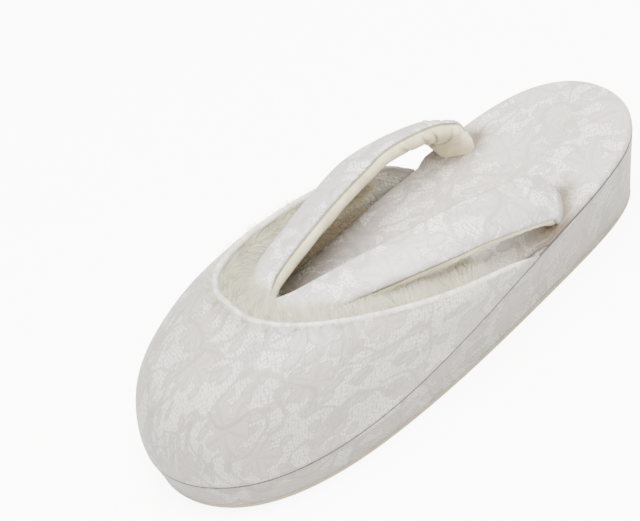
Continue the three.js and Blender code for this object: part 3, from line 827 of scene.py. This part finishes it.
def hair_nodes():
    """Blades grown on a pelt, along the directions that it carries."""
    tree = bpy.data.node_groups.new("hairs on a pelt", "GeometryNodeTree")
    numbers = ("Hairs per square metre", "Blade width", "Blade length", "Curl", "Stray")
    sockets = [("Geometry", "Geometry")] + [(name, "Float") for name in numbers]
    for name, kind in sockets + [("Seed", "Int"), ("Hair material", "Material")]:
        tree.interface.new_socket(name, in_out="INPUT", socket_type="NodeSocket" + kind)
    tree.interface.new_socket("Geometry", in_out="OUTPUT", socket_type="NodeSocketGeometry")
    given = tree.nodes.new("NodeGroupInput").outputs

    def on_pelt(name, kind="FLOAT"):
        made = add(tree, "GeometryNodeInputNamedAttribute", {"Name": name}, data_type=kind)
        return made.outputs["Attribute"]

    def chance(low, high, seed):
        kind = "FLOAT_VECTOR" if isinstance(low, tuple) else "FLOAT"
        inputs = {"Min": low, "Max": high, "Seed": seed}
        made = add(tree, "FunctionNodeRandomValue", inputs, data_type=kind)
        return next(s for s in made.outputs if s.enabled)

    def stored(geometry, name, value, domain):
        kind = "GeometryNodeStoreNamedAttribute"
        inputs = {"Geometry": geometry, "Name": name, "Value": value}
        return add(tree, kind, inputs, data_type="FLOAT", domain=domain).outputs["Geometry"]

    density = times(tree, given["Hairs per square metre"], on_pelt("thickness"))
    spread = {"Mesh": given["Geometry"], "Density": density, "Seed": given["Seed"]}
    points = add(tree, "GeometryNodeDistributePointsOnFaces", spread).outputs["Points"]

    # One blade of unit size, standing along Y, narrowing to its tip and curling out of its plane.
    size = {"Size X": 1.0, "Size Y": 1.0, "Vertices X": 2, "Vertices Y": 4}
    grid = add(tree, "GeometryNodeMeshGrid", size).outputs["Mesh"]
    parts = axes_of(tree, add(tree, "GeometryNodeInputPosition").outputs[0])
    share = maths(tree, "ADD", parts["Y"], 0.5)
    squared = maths(tree, "POWER", share, 2.0)
    taper = maths(tree, "SUBTRACT", 1.0, times(tree, squared, 0.88))
    bow = times(tree, squared, given["Curl"])
    shape = {"X": times(tree, parts["X"], taper), "Y": share, "Z": bow}
    shaped = add(tree, "ShaderNodeCombineXYZ", shape).outputs["Vector"]
    blade = add(tree, "GeometryNodeSetPosition", {"Geometry": grid, "Position": shaped})
    blade = stored(blade.outputs["Geometry"], "strand", share, "POINT")

    stray = {0: chance((-1.0,) * 3, (1.0,) * 3, 4), "Scale": given["Stray"]}
    off = add(tree, "ShaderNodeVectorMath", stray, operation="SCALE").outputs[0]
    way = add(tree, "ShaderNodeVectorMath", {0: on_pelt("comb", "FLOAT_VECTOR"), 1: off}).outputs[0]
    aligned = add(tree, "FunctionNodeAlignRotationToVector", {"Vector": way}, axis="Y").outputs[0]
    spin = {"Axis": (0, 1, 0), "Angle": chance(0.0, 6.283, 9)}
    spun = add(tree, "FunctionNodeAxisAngleToRotation", spin).outputs[0]
    turn = {"Rotation": aligned, "Rotate By": spun}
    turned = add(tree, "FunctionNodeRotateRotation", turn, rotation_space="LOCAL").outputs[0]
    fall = times(tree, on_pelt("pile"), chance(0.6, 1.1, 12))
    long = times(tree, given["Blade length"], fall)
    scale = add(tree, "ShaderNodeCombineXYZ", {"X": given["Blade width"], "Y": long, "Z": long})
    stood = {"Points": points, "Instance": blade, "Rotation": turned, "Scale": scale.outputs[0]}
    hairs = add(tree, "GeometryNodeInstanceOnPoints", stood).outputs["Instances"]
    hairs = stored(hairs, "tone", chance(0.0, 1.0, 21), "INSTANCE")
    hairs = add(tree, "GeometryNodeRealizeInstances", {"Geometry": hairs}).outputs["Geometry"]
    dressed = {"Geometry": hairs, "Material": given["Hair material"]}
    hairs = add(tree, "GeometryNodeSetMaterial", dressed).outputs["Geometry"]
    add(tree, "NodeGroupOutput", {"Geometry": hairs})
    return tree


HAIR_NODES = hair_nodes()


def grown(name, skin, values):
    """The hairs on a pelt as a plain mesh of their own."""
    modifier = skin.modifiers.new("hairs", "NODES")
    modifier.node_group = HAIR_NODES
    for item in HAIR_NODES.interface.items_tree:
        if item.item_type == "SOCKET" and item.in_out == "INPUT" and item.name in values:
            modifier[item.identifier] = values[item.name]
    graph = bpy.context.evaluated_depsgraph_get()
    mesh = bpy.data.meshes.new_from_object(
        skin.evaluated_get(graph), preserve_all_data_layers=True, depsgraph=graph
    )
    skin.modifiers.clear()
    mesh.name = name
    return placed(name, mesh)


FUR = fur_material()


def fur_grid(sides, count, sink=0.0):
    """Rows over the underfur, up its face and back over its rolled top to the binding."""
    low = foot_climb(sides)[:, None]
    crest = cover_curve(sides)[4][:, None]
    room = binding_radius(sides)[:, None] + GAP
    high = 1 - room / (3 * crest) - GAP / crest
    steps = 1 - (1 - np.linspace(0, 1, count)[None, :]) ** 1.4
    climbs = low + (high - low) * steps
    across = sides[:, None] + 0 * climbs
    wall = cover_point(across, climbs) + cover_inward(across, climbs) * (COVER_WALL + 2 * GAP)
    reach = COVER_WALL + GAP + fur_depth(across, climbs)
    tip = cover_point(across, climbs) + fur_direction(across, climbs) * reach[..., None]
    share = UNDERFUR + (TOE_FULLNESS - UNDERFUR) * (1 - smoothstep(np.abs(across), 0.12, 0.42))
    face = wall + (tip - wall) * (share - sink)[..., None]
    back = np.linspace(0, 1, FUR_ROLL_STEPS + 1)[None, 1:]
    roll = face[:, -1:] * (1 - back[..., None]) + wall[:, -1:] * back[..., None]
    roll = raised(roll, FUR_ROLL * np.sin(math.pi * back**0.7) + 0 * roll[..., 0])
    inward = unit(tip - wall)
    skin = np.concatenate((face, roll), 1)
    over = 1 + 0 * roll[..., 0]
    climbs = np.concatenate((climbs, climbs[:, -1:] * over), 1)
    inward = np.concatenate((inward, inward[:, -1:] + 0 * roll), 1)
    rolled = np.concatenate((0 * face[..., 0], back * over), 1)
    return skin, sides[:, None] + 0 * climbs, climbs, wall, inward, rolled


def underfur():
    sides = np.linspace(-FUR_STOP, FUR_STOP, 141)
    skin, across, climbs, wall, inward, rolled = fur_grid(sides, 41)
    depth = 0.35 * ripples(across * 90, climbs * 45 + rolled * 9, 7.0, 0.4) * (1 - rolled)
    skin = skin + inward * depth[..., None]
    foot = np.stack([skin[:, 0], wall[:, 0]], 1)
    rims = [np.concatenate((skin[edge], wall[edge][::-1])) for edge in (0, -1)]
    ends = [closed_end(rim, rim.mean(0)) for rim in rims]
    return piece("underfur", flat(skin, wall, foot, *ends), underfur_material())


def pelt(name, first, last):
    """The underfur's face and roll between two sides, carrying what its hairs need."""
    sides = np.linspace(first, last, 90)
    skin, across, climbs, wall, inward, rolled = fur_grid(sides, 61, PELT_SINK)
    made = piece(name, flat(skin), FUR, merge=1e-6)
    lock_u = np.sin(across * 60 + 2.0 * np.sin(climbs * 9))
    lock_v = np.sin(climbs * 26 + rolled * 5 + 1.6 * np.sin(across * 33))
    sideways = unit(np.cross(inward, [0.0, 0.0, 1.0]))
    stand = 0.08 + 0.25 * smoothstep(climbs, 0.6, 0.9) + 0.2 * rolled + 0.12 * lock_v
    comb = inward * (1 - 1.25 * rolled**2)[..., None] + 0.2 * lock_u[..., None] * sideways
    comb = comb + np.array([-0.25, 0.0, 0.0]) * (1 - rolled)[..., None]
    comb = raised(comb, stand)
    comb = unit(comb).reshape(-1, 3)
    pile = (0.6 + 0.4 * smoothstep(climbs, 0.2, 0.85) - 0.25 * rolled).reshape(-1)
    thick = (0.2 + 0.8 * smoothstep(climbs, 0.45, 0.8)).reshape(-1)
    mesh = made.data
    if len(mesh.vertices) != len(comb):
        raise ValueError(name + " lost points when it was merged")
    values = mesh.attributes.new("comb", "FLOAT_VECTOR", "POINT")
    values.data.foreach_set("vector", comb.astype(np.float32).ravel())
    for key, column in (("pile", pile), ("thickness", thick)):
        values = mesh.attributes.new(key, "FLOAT", "POINT")
        values.data.foreach_set("value", column.astype(np.float32))
    return made


carried(underfur(), "fur", "fur_lining")
FUR_STRETCHES = [
    dict(name="far_side_fur", first=-FUR_STOP, last=-TOE_FUR_END, long=6.5, seed=3),
    dict(name="toe_fur", first=-TOE_FUR_END, last=TOE_FUR_END, long=9.0, seed=5),
    dict(name="near_side_fur", first=TOE_FUR_END, last=FUR_STOP, long=8.0, seed=8),
]
for stretch in FUR_STRETCHES:
    skin = pelt("pelt", stretch["first"], stretch["last"])
    hairs = grown(stretch["name"], skin, {
        "Hairs per square metre": HAIRS_PER_SQUARE_METRE,
        "Blade width": HAIR_WIDTH * MM,
        "Blade length": stretch["long"] * MM,
        "Curl": HAIR_CURL,
        "Stray": HAIR_STRAY,
        "Seed": stretch["seed"],
        "Hair material": FUR,
    })
    bpy.data.objects.remove(skin)
    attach(hairs, "root")

# Thong: a short soft cord covered in cream velvet. It goes down between the toes through the
# footbed, and its upper end is sewn round the joined straps.
THONG_PLACE = 0.47
THONG_ALONG = 7.0
THONG_ACROSS = 9.0


def velvet(name, low, high, seam=0.0):
    """Napped cloth, rubbed lighter in places, with a line of painted seam shade where V is less
    than the seam.
    """
    material, tree, surface = new_material(name)
    place = on_object(tree)
    rubbed = mottle(tree, place, 130.0, 4.0)
    tone = blended(tree, step_between(tree, rubbed, 0.3, 0.7), low, high)
    # Painted shade: a dark line along the sewn edges, for the shade in the seam's groove.
    if seam:
        line = step_between(tree, axes_of(tree, on_pattern(tree))["Y"], seam, 0.4 * seam)
        tone = blended(tree, times(tree, line, 0.8), tone, PAINTED_SEAM_SHADE)
    height = maths(tree, "MULTIPLY_ADD", mottle(tree, place, 2200.0), 0.6, rubbed)
    wire(tree, surface, {
        "Base Color": tone,
        "Roughness": 0.9,
        "Sheen Weight": 0.6,
        "Sheen Roughness": 0.4,
        "Sheen Tint": (1.0, 0.97, 0.88, 1),
        "Normal": relief(tree, height, 0.0003, 0.6),
    })
    return material


def tube(rings, pattern):
    """Grids of a tube of rings, with both its ends closed."""
    ends = [closed_end(ring, ring[:-1].mean(0)) for ring in (rings[0], rings[-1])]
    return [(rings, pattern)] + flat(*ends)


CREAM_VELVET = velvet("cream velvet", (0.50, 0.43, 0.25, 1), (0.68, 0.61, 0.385, 1))


def thong():
    x = THONG_PLACE * HALF_LENGTH
    low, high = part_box("toe_thong")
    base, top = low[2] / MM, high[2] / MM
    angle = np.linspace(0, 2 * math.pi, 41)
    rings = []
    for share in np.linspace(0, 1, 25):
        swell = 1 - 0.08 * math.sin(math.pi * share) + 0.02 * math.sin(19 * share)
        fold = 1 + 0.03 * np.sin(2 * angle + 5 * share)
        half_x, half_y = THONG_ALONG / 2 * swell, THONG_ACROSS / 2 * swell
        height = base + (top - base) * share
        across = half_y * fold * np.sin(angle)
        rings.append(stack(x + half_x * fold * np.cos(angle), across, height))
    rings = np.stack(rings)
    return piece("velvet_thong", tube(rings, rings[..., :2] * MM), CREAM_VELVET)


carried(thong(), "cream_velvet", "toe_thong")

# Strap linings: padded cream velvet under both straps, puffed out below the faces and sewn to them
# along both edges. Behind, they gather in a few folds where they go down through the footbed.
STRAP_WIDTH = 21.0
STRAP_FACE = 1.5
STRAP_DEPTH = 7.6
STRAP_LIFT = 38.5
STRAP_CROWN = 1.3
CROWN_SINK = 0.4

# Sections of one strap from the toe to its end in the footbed, in shares of the half length, the
# half ball width, the strap's lift and its width; lean is the outward tilt in degrees.
STRAP = [
    dict(along=0.51, out=0.02, lift=0.96, wide=0.44, lean=0),
    dict(along=0.42, out=0.23, lift=0.995, wide=0.54, lean=9),
    dict(along=0.317, out=0.359, lift=0.995, wide=0.66, lean=17),
    dict(along=0.165, out=0.492, lift=0.969, wide=0.76, lean=21),
    dict(along=0.036, out=0.594, lift=0.927, wide=0.82, lean=21),
    dict(along=-0.075, out=0.671, lift=0.875, wide=0.87, lean=21),
    dict(along=-0.175, out=0.722, lift=0.8, wide=0.87, lean=27),
    dict(along=-0.295, out=0.757, lift=0.655, wide=0.89, lean=30),
    dict(along=-0.404, out=0.768, lift=0.495, wide=0.92, lean=33),
    dict(along=-0.473, out=0.747, lift=0.325, wide=0.88, lean=42),
    dict(along=-0.498, out=0.731, lift=0.175, wide=0.78, lean=54),
    dict(along=-0.512, out=0.719, lift=0.045, wide=0.7, lean=62),
    dict(along=-0.52, out=0.711, lift=-0.065, wide=0.65, lean=67),
]


def strap_frames(place):
    """Middle of the face, outward and upward directions and half width at places in the table."""
    def middle(p):
        x = through(STRAP, "along", p) * HALF_LENGTH
        y = through(STRAP, "out", p) * HALF_BALL
        return stack(x, y, footbed_height(x) + through(STRAP, "lift", p) * STRAP_LIFT)

    step = 1e-3
    along = unit(middle(place + step) - middle(place - step))
    level = unit(stack(along[..., 1], -along[..., 0], 0 * place))
    lean = np.radians(through(STRAP, "lean", place))[..., None]
    out = level * np.cos(lean) + np.cross(along, level) * np.sin(lean)
    up = unit(np.cross(out, along))
    return middle(place), out, up, through(STRAP, "wide", place) * STRAP_WIDTH / 2


def crown_at(share):
    return STRAP_CROWN * (1 - CROWN_SINK - share**2)


def creased(place, share, creases):
    """Depth of the listed troughs and ridges over a strap, in millimetres."""
    total = 0
    for crease in creases:
        off = place - crease["place"] - crease["slant"] * share
        fade = smoothstep(share, crease["first"] - 0.25, crease["first"] + 0.1)
        fade = fade * (1 - smoothstep(share, crease["last"] - 0.1, crease["last"] + 0.25))
        total = total + crease["depth"] * np.exp(-((off / crease["wide"]) ** 2)) * fade
    return total


# Folds in the velvet near the rear ends: share runs from -1 at the inner edge to 1 at the outer.
LINING_CREASES = [
    dict(place=7.4, slant=0.9, first=-1.1, last=0.6, wide=0.09, depth=1.1),
    dict(place=8.0, slant=0.7, first=-1.1, last=0.7, wide=0.08, depth=1.4),
    dict(place=8.6, slant=0.9, first=-1.1, last=0.6, wide=0.08, depth=1.5),
    dict(place=9.3, slant=0.6, first=-1.1, last=0.7, wide=0.1, depth=1.2),
]

LINING_PUFF = 1.6
LINING_BULGE = 1.1
LINING_SEAM = 0.7 * MM
LINING_WAVE = 0.25
SCALLOP_DEPTH = 0.35
SCALLOP_PITCH = 4.2
LINING_VELVET = velvet(
    "cream velvet of the linings",
    (0.54, 0.475, 0.29, 1),
    (0.72, 0.66, 0.44, 1),
    seam=LINING_SEAM,
)


def pair(rings, pattern):
    """Grids of both straps, from the rings of one."""
    return tube(rings, pattern) + tube(rings * [1, -1, 1], pattern)


def strap_lining():
    place = np.linspace(0, len(STRAP) - 1, 221)
    middle, out, up, half = strap_frames(place)
    depth = STRAP_DEPTH - STRAP_FACE - GAP + LINING_PUFF
    turn = np.linspace(0, math.pi, 61)
    below = -np.cos(turn)
    bulge = LINING_BULGE * np.sin(turn) ** 0.5 * np.sign(below)
    drop = depth * np.sin(turn) ** 0.62
    shares = np.concatenate((below, [0.85, 0.4, 0.0, -0.4, -0.85, -1.0]))
    drops = np.concatenate((drop, [0.0] * 6))
    bulges = np.concatenate((bulge, [0.0] * 6))
    share = shares[None, :] + 0 * place[:, None]
    length = run_length(middle)
    scallop = np.abs(np.sin(length[:, None] * math.pi / SCALLOP_PITCH))
    scallop = SCALLOP_DEPTH * scallop * np.abs(share) ** 8
    soft = LINING_WAVE * ripples(length[:, None], share * 9, 12.0, 1.9)
    fold = creased(place[:, None], share, LINING_CREASES)
    wide = half[:, None] - 0.25
    lower = smoothstep(drops, 0.4, 2.5)[None, :]
    height = crown_at(np.abs(share)) - STRAP_FACE - drops[None, :] + lower * (fold - soft)
    reach = share * wide + bulges[None, :] + np.sign(share) * scallop * lower
    rings = middle[:, None] + out[:, None] * reach[..., None] + up[:, None] * height[..., None]
    around = run_length(rings[:, : len(turn)], axis=1)
    from_seam = np.minimum(around, around[:, -1:] - around)
    from_seam = np.concatenate((from_seam, np.full((len(place), 6), 9.0)), 1)
    pattern = stack(length[:, None] + 0 * share, from_seam) * MM
    return piece("velvet_strap_linings", pair(rings, pattern), LINING_VELVET)


carried(strap_lining(), "cream_velvet", "strap_lining")

# Strap faces: lace vinyl over a soft core, a little crowned, with the edges turned down to the
# seam. Near the rear ends the vinyl wrinkles across, where the straps bend down to the footbed.
STRAP_LACE = lace_vinyl(
    "lace vinyl of the straps",
    ground=(0.525, 0.51, 0.47, 1),
    patch=(0.478, 0.436, 0.416, 1),
    thread=(0.775, 0.77, 0.725, 1),
    turned=0.2,
)
FACE_WAVE = 0.12
FACE_TURN = 0.3
EDGE_TURN = 0.75
# Where and how deeply the painted shadow of the straps lies on the footbed.
SHADE_FROM = 6.5
SHADE_ACROSS = (-1.1, 0.8)
SHADE_FADE = (14, 34)
SHADE_REACH = 5.5
SHADE_DEPTH = 0.95
FACE_CREASES = [
    dict(place=7.0, slant=-0.5, first=-0.9, last=0.2, wide=0.05, depth=-0.4),
    dict(place=7.45, slant=0.5, first=-0.95, last=-0.2, wide=0.05, depth=-0.6),
    dict(place=7.75, slant=0.15, first=-0.95, last=0.1, wide=0.04, depth=-0.8),
    dict(place=8.15, slant=0.7, first=-0.7, last=0.9, wide=0.07, depth=0.4),
    dict(place=8.45, slant=0.8, first=-0.8, last=0.9, wide=0.05, depth=-0.7),
    dict(place=9.0, slant=0.8, first=-0.9, last=0.9, wide=0.06, depth=-0.6),
    dict(place=9.7, slant=0.5, first=-0.5, last=1.0, wide=0.08, depth=-0.5),
]


def strap_faces():
    place = np.linspace(0, len(STRAP) - 1, 221)
    middle, out, up, half = strap_frames(place)
    length = run_length(middle)[:, None]
    top = np.linspace(-1, 1, 37)
    share = np.concatenate((top, top[::-1][1:-1], top[:1]))
    under = np.concatenate((0 * top, 0 * top[1:-1] + 1, [0]))
    share, under = share[None, :] + 0 * place[:, None], under[None, :] + 0 * place[:, None]
    edge = np.abs(share) ** 14
    height = crown_at(share) - FACE_TURN * share**6 - EDGE_TURN * edge
    height = height + creased(place[:, None], share, FACE_CREASES) * (1 - edge)
    reach = share * half[:, None]
    height = height + FACE_WAVE * ripples(length, reach, 14.0, 3.1) * (1 - edge)
    base = crown_at(share) - STRAP_FACE + 0.05
    height = np.where(under > 0, base, height)
    rings = middle[:, None] + out[:, None] * reach[..., None] + up[:, None] * height[..., None]
    pattern = stack(length + 0 * share, reach) * MM
    return piece("lace_strap_faces", pair(rings, pattern), STRAP_LACE)


carried(strap_faces(), "lace_vinyl", "strap_face")


def paint_strap_shade_on_footbed():
    """Painted shade: brown put on the footbed where the straps come down to it, as their shadow."""
    mesh = bpy.data.objects["padded_footbed"].data
    spots = np.empty(len(mesh.vertices) * 3)
    mesh.vertices.foreach_get("co", spots)
    spots = spots.reshape(-1, 3) / MM
    place = np.linspace(SHADE_FROM, len(STRAP) - 1, 45)
    middle, out, _, half = strap_frames(place)
    shares = np.linspace(*SHADE_ACROSS, 6)
    under = np.concatenate([middle + out * (share * half)[:, None] for share in shares])
    lift = under[:, 2] - footbed_height(under[:, 0])
    near = np.stack([spots[:, 0], np.abs(spots[:, 1])], -1)[:, None]
    off = np.linalg.norm(near - under[None, :, :2], axis=-1)
    dark = np.exp(-((off / SHADE_REACH) ** 2)) * (1 - smoothstep(lift, *SHADE_FADE))
    shade = (SHADE_DEPTH * dark.max(1)).astype(np.float32)
    mesh.attributes.new("shade", "FLOAT", "POINT").data.foreach_set("value", shade)


paint_strap_shade_on_footbed()

# Studio: a pale floor that glows for the camera alone, a soft pale surround, and soft lights
# overhead, beside the camera and on the far side.
FLOOR_HALF = 1.5
FLOOR_GLOW = 8.0
LIGHTS_AIM = Vector((0, 0, 0.03))
WARM_WHITE = (1.0, 0.98, 0.945)
SOFT_WHITE = (1.0, 0.985, 0.955)
SURROUND_LOW = 0.15
SURROUND_RISE = 2.3


def floor():
    material, tree, surface = new_material("pale floor")
    speck = mottle(tree, on_object(tree), 9.0, 3.0)
    seen = add(tree, "ShaderNodeLightPath").outputs["Is Camera Ray"]
    wire(tree, surface, {
        "Base Color": blended(tree, speck, (0.74, 0.74, 0.735, 1), (0.77, 0.77, 0.765, 1)),
        "Roughness": 0.85,
        "Emission Color": (1, 1, 1, 1),
        "Emission Strength": times(tree, seen, FLOOR_GLOW),
    })
    mesh = bpy.data.meshes.new("floor")
    corners = [(-1, -1), (1, -1), (1, 1), (-1, 1)]
    mesh.from_pydata([(FLOOR_HALF * x, FLOOR_HALF * y, 0) for x, y in corners], [], [(0, 1, 2, 3)])
    mesh.materials.append(material)
    made = placed("floor", mesh)
    made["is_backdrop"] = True


floor()


def softbox(name, place, size, power, colour):
    data = bpy.data.lights.new(name, "AREA")
    data.shape = "SQUARE"
    data.size = size
    data.energy = power
    data.color = colour
    made = placed(name, data)
    made.location = place
    made.rotation_euler = (LIGHTS_AIM - Vector(place)).to_track_quat("-Z", "Y").to_euler()


softbox("overhead softbox", (-0.1, 0.12, 1.3), 0.4, 28.0, WARM_WHITE)
softbox("far-side softbox", (0.45, -0.75, 1.1), 1.4, 4.5, WARM_WHITE)
softbox("camera-side softbox", (0.142, 0.456, 0.939), 0.3, 15.0, SOFT_WHITE)

world = bpy.data.worlds.new("studio surround")
world.use_nodes = True
sky = world.node_tree
height = axes_of(sky, add(sky, "ShaderNodeTexCoord").outputs["Generated"])["Z"]
rise = step_between(sky, height, 0.0, 0.9)
strength = maths(sky, "MULTIPLY_ADD", rise, SURROUND_RISE, SURROUND_LOW)
wire(sky, sky.nodes["Background"], {"Color": (0.97, 0.96, 0.94, 1), "Strength": strength})
bpy.context.scene.world = world

# Camera: above and in front of the near side, rolled as the photograph is. Angles are in degrees
# and the distance is from the floor under the middle of the sole.
CAMERA = dict(azimuth=152.012, elevation=45.811, roll=-15.497, distance=0.631008)
PHOTO = dict(width=640, height=521, focal=1607.659, origin_x=409.45, origin_y=325.311)
SENSOR = 36.0


def camera():
    turns = (CAMERA[key] for key in ("azimuth", "elevation", "roll"))
    azimuth, elevation, roll = (math.radians(turn) for turn in turns)
    back = Vector((
        math.sin(azimuth) * math.cos(elevation),
        -math.cos(azimuth) * math.cos(elevation),
        math.sin(elevation),
    ))
    right = Vector((math.cos(azimuth), math.sin(azimuth), 0))
    up = back.cross(right)
    x_axis = right * math.cos(roll) + up * math.sin(roll)
    y_axis = up * math.cos(roll) - right * math.sin(roll)
    data = bpy.data.cameras.new("camera")
    data.sensor_fit = "HORIZONTAL"
    data.sensor_width = SENSOR
    data.lens = PHOTO["focal"] / PHOTO["width"] * SENSOR
    data.shift_x = (PHOTO["width"] / 2 - PHOTO["origin_x"]) / PHOTO["width"]
    data.shift_y = (PHOTO["origin_y"] - PHOTO["height"] / 2) / PHOTO["width"]
    data.clip_start = 0.05
    made = placed("camera", data)
    axes = Matrix((x_axis, y_axis, back)).transposed()
    made.matrix_world = Matrix.Translation(back * CAMERA["distance"]) @ axes.to_4x4()
    bpy.context.scene.camera = made


camera()

boxes = {"cad": cad_box, "visual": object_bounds()}
{key: [list(corner) for corner in value] for key, value in boxes.items()}
